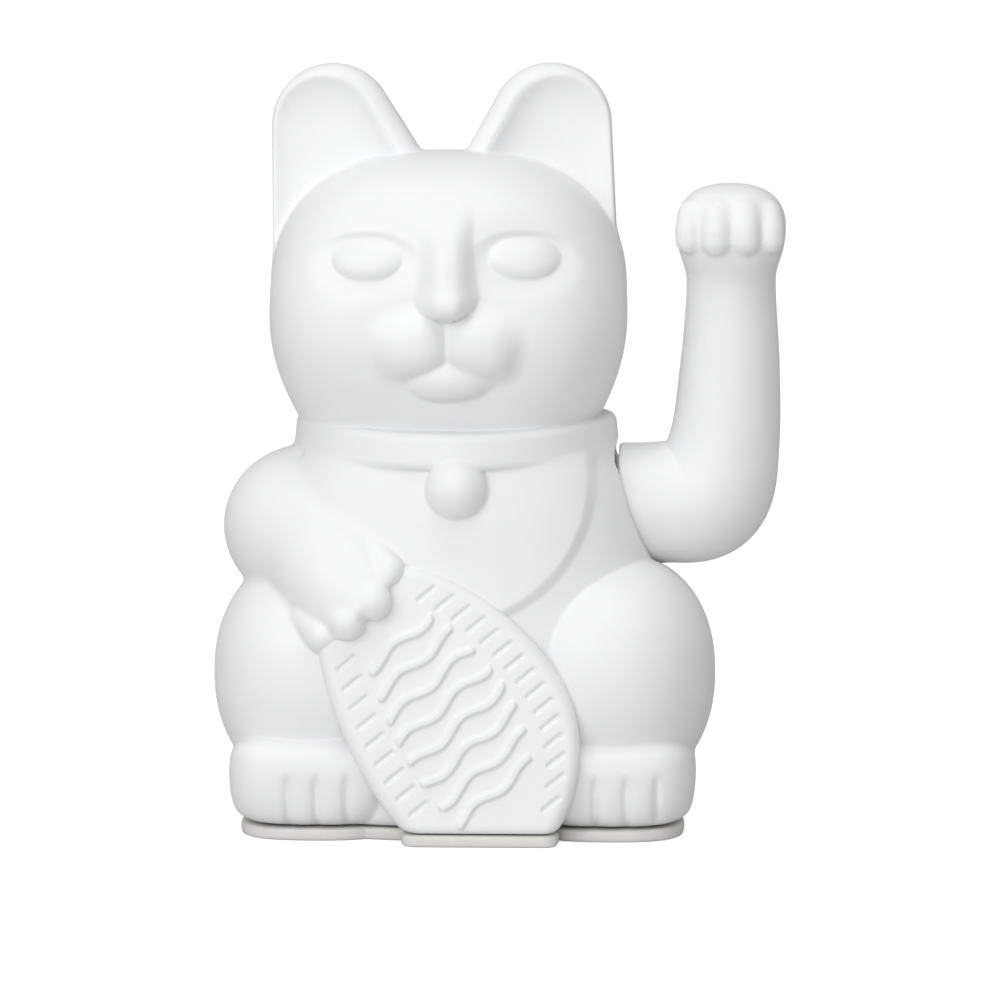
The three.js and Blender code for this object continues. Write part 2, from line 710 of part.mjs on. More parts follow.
place('axle', alongX(AXLE_LOW_X, AXLE_HIGH_X, AXLE_R), STEEL);

function axleClip() {
  const high = UPRIGHTS[0] - CLIP.gap;
  return cut(alongX(high - CLIP.thick, high, CLIP.r), alongX(0, high + 1, BORE_R));
}
place('axle_clip', axleClip(), STEEL);

const soleLow = MAGNET_LOW + MAGNET_SIZE[2] + GAP;
const weightLow = soleLow + SOLE.thick + GAP;

function pendulumLever() {
  const slab = (w, d, low, high) =>
    block([LEVER_X - w, PIVOT_Y - d, low], [LEVER_X + w, PIVOT_Y + d, high]);
  return cut(
    join(
      slab(...LEVER_HALF, soleLow, PIVOT_Z),
      alongX(LEVER_X - HUB.half, LEVER_X + HUB.half, HUB.r),
      slab(SOLE.half, SOLE.half, soleLow, soleLow + SOLE.thick),
    ),
    alongX(0, UPRIGHTS[1], BORE_R),
  );
}
place('pendulum_lever', pendulumLever(), GREY_PLASTIC);

function swingingBlock([width, depth, height], y, low) {
  return block(
    [LEVER_X - width / 2, y - depth / 2, low],
    [LEVER_X + width / 2, y + depth / 2, low + height],
  );
}
place('magnet', swingingBlock(MAGNET_SIZE, PIVOT_Y, MAGNET_LOW), MAGNET_PLATING);

function counterweight() {
  const [w, d] = LEVER_HALF.map((half) => half + GAP);
  return cut(
    swingingBlock(WEIGHT_SIZE, PIVOT_Y + WEIGHT_Y, weightLow),
    block([LEVER_X - w, PIVOT_Y - d, 0], [LEVER_X + w, PIVOT_Y + d, FAR]),
  );
}
place('counterweight', counterweight(), STEEL);

// ---------------------------------------------------------------- raised arm

function armForm(depth, segments) {
  const [from, to] = [FOREARM_LOW, FOREARM_HIGH];
  return join(
    alongX(0, ARM_ROOT.x, ARM_ROOT.r - depth, segments + 4),
    sphere([...ELBOW.at, ELBOW.r - depth], segments + 4),
    rod(from.slice(0, 3), to.slice(0, 3), from[3] - depth, to[3] - depth, segments + 4),
    ball({ ...ARM_PAW, half: inset(ARM_PAW.half, depth) }, segments),
  );
}

function arm() {
  const away = block([-FAR, -FAR, -FAR], [ARM_ROOT_X, FAR, FAR]);
  const rootWall = block([-FAR, -FAR, -FAR], [ARM_ROOT_X + ARM_WALL, FAR, FAR]);
  return cut(
    join(armForm(0, ROUND), row(ARM_TOES, ARM_TOE, 8)),
    cut(armForm(ARM_WALL, 12), rootWall),
    away,
    alongX(0, AXLE_HIGH_X, BORE_R + 0.4),
  );
}

const armShell = arm();
place('arm_front_shell', cut(armShell, behind(ARM_SEAM_Y - GAP / 2)), MATT_WHITE);
place('arm_back_shell', cut(armShell, inFront(ARM_SEAM_Y + GAP / 2)), MATT_WHITE);

const hubLow = ARM_ROOT_X + ARM_WALL + GAP;
place(
  'arm_hub',
  cut(
    join(
      alongX(hubLow, hubLow + ARM_HUB.thick, ARM_HUB.r, 20),
      alongX(hubLow, hubLow + ARM_HUB.length, ARM_HUB.core),
    ),
    alongX(0, FAR, BORE_R),
  ),
  GREY_PLASTIC,
);

// ---------------------------------------------------------------- leads

const boardEdge = BOARD.highY - 1.6;
const leadLow = BOARD_TOP + GAP + LEAD_R;
place(
  'lead_black',
  wire(
    smoothPath([
      [BAY.lowX - BAY.wall - 1, BAY.y, 10.2],
      [-32.2, 11, 8.6],
      [-32.4, 5, 8.4],
      [-31, 0.5, 9.6],
      [-27, -3, 10],
      [-24.5, boardEdge, leadLow],
    ]),
    LEAD_R,
    14,
    6,
  ),
  BLACK_SLEEVE,
);
place(
  'lead_red',
  wire(
    smoothPath([
      [BAY.highX + BAY.wall + 1.2, BAY.y, 13.8],
      [30.2, 14, 17.4],
      [27.8, 13.2, 20],
      [15, 12.5, 20],
      [0, 11, 19.9],
      [-7, 7.6, 20.2],
      [-9.3, 3.3, 18.4],
      [-9.6, -1, 12.5],
      [-9.6, -4.5, 10],
      [-9.6, boardEdge, leadLow],
    ]),
    LEAD_R,
    24,
    6,
  ),
  RED_SLEEVE,
);

export default group;
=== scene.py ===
"""A beckoning cat figurine in matt white plastic, 150 mm tall, with a waving left arm.

The body, the coin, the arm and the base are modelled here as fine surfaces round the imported
CAD frame. Each is a signed distance on a grid, where forms are joined with fillets, hollowed
to the CAD's wall and split at the CAD's seams. What lies inside keeps its CAD shape.

Lengths are in millimetres until a mesh is made. The cat faces -Y and +X is its own left.
"""

import math

import bpy
import numpy as np
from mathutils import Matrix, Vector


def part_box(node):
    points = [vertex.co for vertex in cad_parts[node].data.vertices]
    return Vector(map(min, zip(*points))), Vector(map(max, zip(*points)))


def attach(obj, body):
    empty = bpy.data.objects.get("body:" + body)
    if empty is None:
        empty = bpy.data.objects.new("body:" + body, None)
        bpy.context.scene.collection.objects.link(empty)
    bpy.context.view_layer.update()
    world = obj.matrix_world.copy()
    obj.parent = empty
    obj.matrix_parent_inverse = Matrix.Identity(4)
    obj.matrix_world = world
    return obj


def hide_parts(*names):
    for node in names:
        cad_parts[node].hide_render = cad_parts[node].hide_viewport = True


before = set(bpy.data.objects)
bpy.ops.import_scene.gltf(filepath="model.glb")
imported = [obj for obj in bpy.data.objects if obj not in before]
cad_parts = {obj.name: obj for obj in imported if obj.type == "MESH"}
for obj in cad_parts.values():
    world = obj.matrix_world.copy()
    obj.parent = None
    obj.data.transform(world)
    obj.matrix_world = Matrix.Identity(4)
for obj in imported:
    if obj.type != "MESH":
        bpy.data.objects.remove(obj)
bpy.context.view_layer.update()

import openvdb
from mathutils import Vector

MM = 0.001
F32 = np.float32

# ------------------------------------------------------------------ sizes shared with the CAD


def middle(node):
    """The x and y of the middle of a CAD node."""
    low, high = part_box(node)
    return tuple((a + b) / 2 / MM for a, b in zip(low[:2], high[:2]))


GAP = 0.3
WALL = 2.0
BASE_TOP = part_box("base_plate")[0][2] / MM + 2.4
SHELL_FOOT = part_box("front_shell")[0][2] / MM
SEAM_Y = (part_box("front_shell")[1][1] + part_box("back_shell")[0][1]) / 2 / MM
ARM_SEAM_Y = (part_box("arm_front_shell")[1][1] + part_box("arm_back_shell")[0][1]) / 2 / MM
ARM_ROOT_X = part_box("arm_front_shell")[0][0] / MM
AXLE_LOW, AXLE_HIGH = (np.array(c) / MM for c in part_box("axle"))
PIVOT_Y, PIVOT_Z = ((AXLE_LOW + AXLE_HIGH) / 2)[1:]
SOCKET_R = 12.7
SOCKET_FLOOR_X = ARM_ROOT_X - 0.7
BASE_SCREWS = [middle(f"base_screw_{i}") for i in (1, 2, 3, 4)]
POST_R, POST_TOP = 3.0, 15.0

STEP = 0.42  # grid spacing of the body and the arm
COIN_STEP = 0.24
MOST_TRIANGLES = 190_000

# ------------------------------------------------------------------ signed distances on a grid


def fillet_min(a, b, k):
    """The smaller of two distances, with a fillet about k wide where they meet."""
    if k <= 0:
        return np.minimum(a, b)
    h = np.maximum(k - np.abs(a - b), 0) / k
    return np.minimum(a, b) - h * h * k * F32(0.25)


def fillet_max(a, b, k):
    return -fillet_min(-a, -b, k)


def fade(t):
    """1 at 0 and below, 0 at 1 and beyond, and smooth between them."""
    u = 1 - np.clip(t, 0, 1)
    return u * u * (3 - 2 * u)


class Shape:
    """A distance function of x, y and z, and the box that it fills."""

    def __init__(self, low, high, distance):
        self.low = np.array(low, float)
        self.high = np.array(high, float)
        self.distance = distance

    def joined(self, other, k=0.0):
        return Shape(
            np.minimum(self.low, other.low),
            np.maximum(self.high, other.high),
            lambda x, y, z: fillet_min(self.distance(x, y, z), other.distance(x, y, z), k),
        )

    def within(self, other, k=0.0):
        return Shape(
            self.low,
            self.high,
            lambda x, y, z: fillet_max(self.distance(x, y, z), other.distance(x, y, z), k),
        )

    def without(self, other, k=0.0):
        return Shape(
            self.low,
            self.high,
            lambda x, y, z: fillet_max(self.distance(x, y, z), -other.distance(x, y, z), k),
        )


class Clay:
    """A signed distance in millimetres, negative inside, on a regular grid."""

    def __init__(self, low, high, step):
        self.low = np.array(low, float)
        self.step = step
        count = [int((b - a) / step) + 2 for a, b in zip(low, high)]
        self.axes = [(a + step * np.arange(n)).astype(F32) for a, n in zip(low, count)]
        self.d = np.full(count, 20, F32)

    def part(self, low, high):
        """The slices of the grid inside a box, and the coordinates there."""
        cuts = [
            slice(*np.searchsorted(axis, (a, b))) for axis, a, b in zip(self.axes, low, high)
        ]
        x, y, z = (axis[cut] for axis, cut in zip(self.axes, cuts))
        return tuple(cuts), (x[:, None, None], y[None, :, None], z[None, None, :])

    def add(self, shape, k=0.0, pad=3.0):
        pad += k
        cuts, at = self.part(shape.low - pad, shape.high + pad)
        self.d[cuts] = fillet_min(self.d[cuts], shape.distance(*at), k)

    def cut(self, shape, k=0.0):
        pad = 3 + k
        cuts, at = self.part(shape.low - pad, shape.high + pad)
        self.d[cuts] = fillet_max(self.d[cuts], -shape.distance(*at), k)

    def reach(self):
        """The corners of a box just past the grid."""
        return self.low - 1, self.low + self.step * np.array(self.d.shape) + 1

    def raised(self, low, high, height):
        """Moves the surface out by height(x, y, z) inside a box."""
        cuts, at = self.part(low, high)
        self.d[cuts] -= height(*at).astype(F32)

    def like(self, d, low=None, high=None):
        """Another clay on this grid, or on the part of it inside a box."""
        made = Clay.__new__(Clay)
        made.step = self.step
        if low is None:
            made.low, made.axes, made.d = self.low, self.axes, d
            return made
        cuts, _ = self.part(low, high)
        made.axes = [axis[cut] for axis, cut in zip(self.axes, cuts)]
        made.low = np.array([axis[0] for axis in made.axes], float)
        made.d = np.ascontiguousarray(d[cuts])
        return made

    def sample(self, points):
        """The distance at each point, between the grid's corners."""
        at = (points - self.low) / self.step
        limit = np.array(self.d.shape) - 2
        cell = np.clip(np.floor(at).astype(int), 0, limit)
        part = np.clip(at - cell, 0, 1)
        total = 0
        for corner in np.ndindex(2, 2, 2):
            i, j, k = (cell + corner).T
            share = np.where(corner, part, 1 - part).prod(axis=1)
            total = total + share * self.d[i, j, k]
        return total

    def normals(self, points):
        """The direction in which the distance grows, at each point."""
        reach = self.step * 0.6
        slopes = []
        for axis in np.eye(3) * reach:
            slopes.append(self.sample(points + axis) - self.sample(points - axis))
        n = np.array(slopes).T
        return n / np.maximum(np.linalg.norm(n, axis=1, keepdims=True), 1e-9)


def ball(centre, half, power=2.0, drop=None, turn=None):
    """An ellipsoid, or a squarer form; drop is another height below its centre, and turn its
    angles in degrees about X, Y and Z."""
    c, h = np.array(centre, float), np.array(half, float)
    if turn is not None:
        x, y, z = (math.radians(t) for t in turn)
        basis = np.array(
            [
                [math.cos(y) * math.cos(z), -math.cos(y) * math.sin(z), math.sin(y)],
                [
                    math.cos(x) * math.sin(z) + math.sin(x) * math.sin(y) * math.cos(z),
                    math.cos(x) * math.cos(z) - math.sin(x) * math.sin(y) * math.sin(z),
                    -math.sin(x) * math.cos(y),
                ],
                [
                    math.sin(x) * math.sin(z) - math.cos(x) * math.sin(y) * math.cos(z),
                    math.sin(x) * math.cos(z) + math.cos(x) * math.sin(y) * math.sin(z),
                    math.cos(x) * math.cos(y),
                ],
            ]
        )

    def distance(x, y, z):
        offset = (x - F32(c[0]), y - F32(c[1]), z - F32(c[2]))
        if turn is not None:
            offset = [sum(F32(basis[i, j]) * offset[i] for i in range(3)) for j in range(3)]
        high = F32(h[2]) if drop is None else np.where(offset[2] < 0, F32(drop), F32(h[2]))
        radii = (F32(h[0]), F32(h[1]), high)
        unit = [np.abs(o) / r for o, r in zip(offset, radii)]
        p = F32(power)
        if power == 2:
            k = np.sqrt(unit[0] ** 2 + unit[1] ** 2 + unit[2] ** 2)
            slope = np.sqrt(sum((u / r) ** 2 for u, r in zip(unit, radii)))
            return (k - 1) * k / np.maximum(slope, F32(1e-4))
        k = (unit[0] ** p + unit[1] ** p + unit[2] ** p) ** (1 / p)
        slope = np.sqrt(sum((u ** (p - 1) / r) ** 2 for u, r in zip(unit, radii)))
        return (k - 1) * k ** (p - 1) / np.maximum(slope, F32(1e-4))

    reach = np.array(half, float) if turn is None else np.full(3, max(half))
    low = c - reach
    if drop is not None:
        low[2] = c[2] - max(drop, reach[2])
    return Shape(low, c + reach, distance)


def limb(joints):
    """A chain of rods that taper between round joints, each joint (x, y, z, radius)."""
    joints = [np.array(j, float) for j in joints]

    def distance(x, y, z):
        best = None
        for a, b in zip(joints, joints[1:]):
            span = b[:3] - a[:3]
            length = float(span @ span)
            dx, dy, dz = x - F32(a[0]), y - F32(a[1]), z - F32(a[2])
            t = np.clip((dx * F32(span[0]) + dy * F32(span[1]) + dz * F32(span[2])) / F32(length), 0, 1)
            away = np.sqrt(
                (dx - t * F32(span[0])) ** 2
                + (dy - t * F32(span[1])) ** 2
                + (dz - t * F32(span[2])) ** 2
            )
            d = away - (F32(a[3]) + t * F32(b[3] - a[3]))
            best = d if best is None else np.minimum(best, d)
        return best

    low = np.min([j[:3] - j[3] for j in joints], axis=0)
    high = np.max([j[:3] + j[3] for j in joints], axis=0)
    return Shape(low, high, distance)


def smooth_limb(joints, between):
    """A limb whose joints lie on a smooth curve through the given ones."""
    p = np.array(joints, float)
    p = np.vstack([2 * p[0] - p[1], p, 2 * p[-1] - p[-2]])
    out = []
    for a, b, c, d in zip(p, p[1:], p[2:], p[3:]):
        for t in np.linspace(0, 1, between, endpoint=False):
            curve = (2 * b) + (c - a) * t + (2 * a - 5 * b + 4 * c - d) * t**2
            out.append((curve + (3 * b - a - 3 * c + d) * t**3) / 2)
    return limb(out + [p[-2]])


def rod_x(low, high, r, y=None, z=None):
    """A cylinder along X."""
    y = PIVOT_Y if y is None else y
    z = PIVOT_Z if z is None else z

    def distance(px, py, pz):
        round_ = np.sqrt((py - F32(y)) ** 2 + (pz - F32(z)) ** 2) - F32(r)
        return np.maximum(round_, np.maximum(low - px, px - high))

    return Shape((low, y - r, z - r), (high, y + r, z + r), distance)


def rod_z(x, y, low, high, r):
    def distance(px, py, pz):
        round_ = np.sqrt((px - F32(x)) ** 2 + (py - F32(y)) ** 2) - F32(r)
        return np.maximum(round_, np.maximum(low - pz, pz - high))

    return Shape((x - r, y - r, low), (x + r, y + r, high), distance)


def block(low, high):
    """A box between two corners."""

    def distance(x, y, z):
        out = [np.maximum(a - v, v - b) for a, v, b in zip(low, (x, y, z), high)]
        return np.maximum(np.maximum(out[0], out[1]), out[2])

    return Shape(low, high, distance)


def loft(sections, power):
    """An upright form through sections (z, centre x, centre y, half width, half depth)."""
    rows = np.array(sections, float)
    fine = np.linspace(rows[0, 0], rows[-1, 0], 240)
    window = np.hanning(33) / np.hanning(33).sum()
    tracks = []
    for column in rows[:, 1:].T:
        track = np.pad(np.interp(fine, rows[:, 0], column), 16, mode="edge")
        tracks.append(np.convolve(track, window, "valid"))

    def distance(x, y, z):
        cx, cy, a, b = (np.interp(z, fine, track).astype(F32) for track in tracks)
        p = F32(power)
        u, v = np.abs(x - cx) / a, np.abs(y - cy) / b
        k = (u**p + v**p) ** (1 / p)
        slope = np.sqrt((u ** (p - 1) / a) ** 2 + (v ** (p - 1) / b) ** 2)
        side = (k - 1) * k ** (p - 1) / np.maximum(slope, F32(1e-4))
        return np.maximum(side, np.maximum(F32(rows[0, 0]) - z, z - F32(rows[-1, 0])))

    low = (min(rows[:, 1] - rows[:, 3]), min(rows[:, 2] - rows[:, 4]), rows[0, 0])
    high = (max(rows[:, 1] + rows[:, 3]), max(rows[:, 2] + rows[:, 4]), rows[-1, 0])
    return Shape(low, high, distance)


def outline_distance(x, z, corners):
    """Distance in the plane from a triangle, negative inside."""
    corners = [np.array(c, float) for c in corners]
    sides = list(zip(corners, corners[1:] + corners[:1]))
    turn = np.cross(corners[1] - corners[0], corners[2] - corners[0])
    nearest, inside = None, None
    for a, b in sides:
        e = b - a
        t = np.clip(((x - a[0]) * e[0] + (z - a[1]) * e[1]) / (e @ e), 0, 1)
        away = np.hypot(x - a[0] - t * e[0], z - a[1] - t * e[1])
        left = np.sign(turn) * (e[0] * (z - a[1]) - e[1] * (x - a[0]))
        nearest = away if nearest is None else np.minimum(nearest, away)
        inside = left if inside is None else np.minimum(inside, left)
    return np.where(inside > 0, -nearest, nearest).astype(F32)


# ------------------------------------------------------------------ meshes from clay


def mesh_from(clay, name):
    """A closed mesh of the clay's surface, with its normals, as an object in metres."""
    grid = openvdb.FloatGrid(20.0)
    grid.copyFromArray(np.ascontiguousarray(clay.d))
    points, quads = grid.convertToQuads(0.0)
    mesh = bpy.data.meshes.new(name)
    mesh.vertices.add(len(points))
    mesh.vertices.foreach_set("co", ((points * clay.step + clay.low) * MM).astype(F32).ravel())
    mesh.loops.add(quads.size)
    mesh.loops.foreach_set("vertex_index", quads.astype(np.int32).ravel())
    mesh.polygons.add(len(quads))
    mesh.polygons.foreach_set("loop_start", np.arange(0, quads.size, 4, dtype=np.int32))
    mesh.update(calc_edges=True)
    mesh.validate()
    piece = bpy.data.objects.new(name, mesh)
    bpy.context.scene.collection.objects.link(piece)
    if 2 * len(quads) > MOST_TRIANGLES:
        thin_out(piece, MOST_TRIANGLES / (2 * len(quads)))
    mesh = piece.data
    at = np.empty(len(mesh.vertices) * 3, F32)
    mesh.vertices.foreach_get("co", at)
    mesh.shade_smooth()
    mesh.normals_split_custom_set_from_vertices(clay.normals(at.reshape(-1, 3) / MM))
    return piece


def thin_out(piece, share):
    """Leaves a share of the faces, most of them where the surface curves."""
    fewer = piece.modifiers.new("fewer", "DECIMATE")
    fewer.ratio = share
    ready = piece.evaluated_get(bpy.context.evaluated_depsgraph_get())
    whole = piece.data
    piece.data = bpy.data.meshes.new_from_object(ready)
    piece.data.name = piece.name
    piece.modifiers.clear()
    bpy.data.meshes.remove(whole)


# ------------------------------------------------------------------ the cat's body

# Torso sections: height, centre x, centre y, half width, half depth.
TORSO = [
    (0, 0.5, 2, 41, 36),
    (20, 0.5, 2, 41, 36.3),
    (38, 0.5, 2, 40.2, 35.3),
    (52, 0.3, 0.6, 38.5, 31.5),
    (63, 0, -0.6, 35.6, 29.0),
    (70, -0.4, -1, 33.4, 27.0),
    (75, -0.9, -1, 30.2, 25.0),
    (80, -1.2, -1, 27.5, 21.0),
]
MIDDLE_X = 0.7  # the legs stand evenly about this plane
HEAD = ball((-2.75, -0.5, 105), (35.2, 28.5, 28), 2.4, drop=39)
JAW = ball((-2.75, -0.5, 103), (80, 29.3, 60), 3, drop=31)  # rounds the chin under

# Each ear's outline is a triangle, grown outwards; out is the side its outer edge is on.
EARS = [
    {"corners": [(-25.9, 138), (-25.5, 110), (-12.8, 117)], "out": -1},
    {"corners": [(17.3, 138.2), (18.6, 110), (5.5, 117)], "out": 1},
]
EAR_ROUND = 12.0
EAR_LOW, EAR_TOP = 105.0, 150.0


def ear(corners, out):
    """A blade, thinner at the top, with a rolled inner edge and a bowl that runs out past its
    outer edge."""
    low_x = min(c[0] for c in corners) - EAR_ROUND
    high_x = max(c[0] for c in corners) + EAR_ROUND
    low, high = (low_x, -11, 100), (high_x, 13, 151)
    roll = F32(3.4)

    def up(z):
        return np.clip((z - EAR_LOW) / (EAR_TOP - EAR_LOW), 0, 1)

    def front(z):
        return F32(-8.5) + F32(8.0) * up(z)

    def blade(x, y, z):
        edge = outline_distance(x, z, corners) - F32(EAR_ROUND)
        half = F32(9.2) - F32(5.6) * up(z)
        a, b = edge + roll, np.abs(y - front(z) - half) - half + roll
        outer = np.sqrt(np.maximum(a, 0) ** 2 + np.maximum(b, 0) ** 2)
        return outer + np.minimum(np.maximum(a, b), 0) - roll

    def bowl(x, y, z):
        shifted = outline_distance(x - F32(out * 2.7), z + F32(1.2), corners)
        edge = shifted - F32(EAR_ROUND) + F32(0.9)
        deep = F32(5.4) * (1 - F32(0.45) * up(z))
        floor = front(z) + deep * (1 - np.exp(np.minimum(edge, 0) / F32(3.0)))
        return np.maximum(edge, (y - floor) * F32(0.75))

    return Shape(low, high, blade).without(Shape(low, high, bowl), 0.9)


COLLAR_AT = (-1.25, -1.0, 76.0)
COLLAR_HALF = (30.4, 27.5)
COLLAR_ROUND = 1.7
COLLAR_LEAN = 0.1  # how far the band leans in for each mm of height
COLLAR_RISE = 1.0  # how much higher the band's middle is at its sides than in front


def collar():
    """A rounded band round the neck."""
    a, b = COLLAR_HALF

    def distance(x, y, z):
        u, v = (x - F32(COLLAR_AT[0])) / F32(a), (y - F32(COLLAR_AT[1])) / F32(b)
        k = np.sqrt(u * u + v * v)
        slope = np.sqrt((u / F32(a)) ** 2 + (v / F32(b)) ** 2)
        out = (k - 1) * k / np.maximum(slope, F32(1e-4))
        rise = F32(COLLAR_RISE) * u * u
        up = np.abs(z - F32(COLLAR_AT[2]) - rise) - F32(1.9) - F32(0.5) * rise
        face_on = out + F32(COLLAR_LEAN) * (z - F32(COLLAR_AT[2]))
        p, q = np.maximum(np.abs(face_on + 2.2) - F32(2.2), 0), np.maximum(up, 0)
        return np.sqrt(p * p + q * q) - F32(COLLAR_ROUND)

    reach = np.array((a + 3, b + 3, 7))
    return Shape(COLLAR_AT - reach, COLLAR_AT + reach, distance)


def eye(clay, x, z, lean):
    """A bulging almond in a shallow socket, its upper lid sharper than its lower one."""
    half_x, half_z = 6.85, 3.95
    bulge, sunk = 1.9, 0.8

    def height(px, py, pz):
        dx, dz = px - F32(x), pz - F32(z)
        u = (dx + dz * F32(lean)) / F32(half_x)
        v = (dz - dx * F32(lean)) / F32(half_z)
        r = np.sqrt(np.abs(u) ** 2.2 + v * v)
        inside = bulge * np.clip(1 - r * r, 0, 1) ** 0.68 - sunk
        width = F32(0.8) - F32(0.42) * v / np.maximum(r, 0.3)
        outside = -sunk * fade((r - 1) / width)
        return np.where(r < 1, inside, outside) * fade((py + 14) / 4)

    clay.raised((x - 18, -42, z - 13), (x + 18, -10, z + 13), height)


NOSE_X = -2.2
# Rows down the nose: height, how proud it is, half width.
NOSE = [
    (127, 0, 5.8),
    (123, 0.5, 6.0),
    (120, 1.5, 5.8),
    (117, 2.7, 5.6),
    (113, 3.8, 5.8),
    (109, 4.7, 6.3),
    (106, 5.4, 7.3),
    (101, 5.8, 7.8),
]
NOSE_FOOT = 101.7
NOSE_ROUND = 6.9  # radius of the rounded lower end
NOSE_TIP = 5.2  # height over which the lower end rises to its full
NOSE_RIGHT, NOSE_LEFT = 2.0, 3.2  # how steep each side is; more is steeper


def nose(clay):
    """A ridge that slopes gently on the cat's right and steeply on its left."""
    fine = np.linspace(NOSE[-1][0], NOSE[0][0], 120)
    window = np.hanning(15) / np.hanning(15).sum()
    rows = np.array(NOSE[::-1], float)
    tracks = []
    for column in rows[:, 1:].T:
        track = np.pad(np.interp(fine, rows[:, 0], column), 7, mode="edge")
        tracks.append(np.convolve(track, window, "valid"))

    def height(x, y, z):
        proud, wide = (np.interp(z, fine, track) for track in tracks)
        across = x - NOSE_X
        u = np.clip(np.abs(across) / wide, 0, 1)
        ridge = (1 - u ** np.where(across < 0, NOSE_RIGHT, NOSE_LEFT)) ** 2
        foot = NOSE_FOOT + NOSE_ROUND - np.sqrt(np.maximum(NOSE_ROUND**2 - across**2, 0))
        tip = np.sqrt(1 - (1 - np.clip((z - foot) / NOSE_TIP, 0, 1)) ** 2)
        return proud * tip * ridge * fade((y + 14) / 4)

    clay.raised((NOSE_X - 10, -46, 100), (NOSE_X + 10, -10, 128), height)


def face(clay):
    for x in (-21.5, 16.5):
        clay.add(ball((x, -13.0, 99), (12.5, 13.9, 13.5)), 9, pad=8)
    for x in (-15.5, 11.2):
        clay.raised(
            (x - 14, -40, 104),
            (x + 14, -8, 126),
            lambda px, py, pz, x=x: -0.7
            * fade(np.sqrt(((px - x) / 12) ** 2 + ((pz - 116) / 8.5) ** 2)),
        )
    puffs = ball((-8.6, -26.6, 96.8), (7.2, 6.0, 6.0), 2.4, turn=(0, -14, 0)).joined(
        ball((4.4, -26.6, 96.9), (7.2, 6.0, 6.1), 2.4, turn=(0, 14, 0)), 0.4
    )
    lip = ball((-1.4, -25.2, 90.4), (9.6, 5.3, 4.9), turn=(0, -4, 0))
    clay.add(puffs, 3.4, pad=8)
    clay.add(lip, 0.6, pad=6)
    nose(clay)
    eye(clay, -17.7, 113.5, 0.03)
    eye(clay, 13.1, 113.8, -0.05)


# The right paw: its toes lie side by side along a line across the end of the arm.
PAW_AT = (-18.2, 45.5)
PAW_TURN = math.radians(43.8)  # how far down the arm points, seen from in front
# Each toe: place across the paw, how far forward along it, y and radius.
PAW_TOES = [
    (-9.1, -2.1, -33.0, 3.4),
    (-3.5, -0.6, -35.4, 3.6),
    (3.0, 0.3, -35.5, 3.6),
    (9.0, -1.7, -32.3, 3.2),
]


def right_arm():
    """A full round limb that comes forwards on its way down and is cut off square where the
    toes begin."""
    upper = ball((-31, -3.5, 58.8), (15.9, 17.5, 15.2))
    fore = smooth_limb(
        [
            (-30.8, -5.5, 58.6, 13.6),
            (-27.4, -15.5, 55.0, 12.7),
            (-22.8, -23.0, 50.2, 12.3),
            (-16.2, -27.2, 43.6, 12.2),
        ],
        8,
    )
    c, s = math.cos(PAW_TURN), math.sin(PAW_TURN)

    def distance(x, y, z):
        along = (x - F32(PAW_AT[0])) * F32(c) - (z - F32(PAW_AT[1])) * F32(s)
        return along - F32(0.6)

    end = Shape(fore.low, fore.high, distance)
    return upper.joined(fore.within(end, 2.5), 6)


def paw_point(across, along):
    c, s = math.cos(PAW_TURN), math.sin(PAW_TURN)
    return PAW_AT[0] + s * across + c * along, PAW_AT[1] + c * across - s * along


def right_paw(clay):
    for across, reach, y, r in PAW_TOES:
        joints = []
        for back in (4.5, 0):
            x, z = paw_point(across, reach - back)
            joints.append((x, y + 0.9 * back, z, r))
        clay.add(limb(joints), 0.8)


def bib(clay):
    """The chest is a little proud inside a round edge, which the right arm hides on its side."""
    x0, z0, radius = -1.0, 70.0, 27.6

    def height(x, y, z):
        across = np.where(x < x0, 0.6, 1.0) * (x - x0)
        inside = np.sqrt(across**2 + (z - z0) ** 2) - radius
        return 1.3 * fade((inside + 1.6) / 2.4) * fade((y + 14) / 4) * fade((z - 74) / 3)

    clay.raised((-40, -45, 40), (29, -9, 78), height)


# The thigh under the right arm is flatter in front.
THIGH_DEPTH_LEFT, THIGH_DEPTH_RIGHT = 26.3, 23.8


def thigh(side):
    depth = THIGH_DEPTH_LEFT if side > 0 else THIGH_DEPTH_RIGHT
    return ball((MIDDLE_X + side * 29.3, -10, 30.5), (20.3, depth, 23.5), 2.2)


def foot(side):
    """Square along its top edge and round below."""
    x = MIDDLE_X + side * 28.8
    return ball((x, -19, 8), (17.5, 17.6, 12.3), 4.2, drop=12).within(
        ball((x, -19, 15), (17.9, 18.0, 40), 2.8, drop=16.5), 2
    )


TAIL = [(-4, 35.5, 9, 4), (5, 36.2, 9.8, 4.8), (12, 35.6, 14, 5.2)]
FOOT_CREASES = [-33, -27.4, -21.4, 27.1, 33.2, 39.2]


def foot_toes(clay):
    """Three upright creases in the front of each foot."""

    def height(x, y, z):
        total = 0
        for at in FOOT_CREASES:
            off = np.abs(x - at)
            total = total - 0.85 * np.exp(-((off / 0.65) ** 2)) - 0.4 * np.exp(-((off / 1.9) ** 2))
        return total * fade((z - 10.2) / 4.2) * fade((y + 33) / 3)

    clay.raised((-47, -44, -1), (47, -29, 16), height)


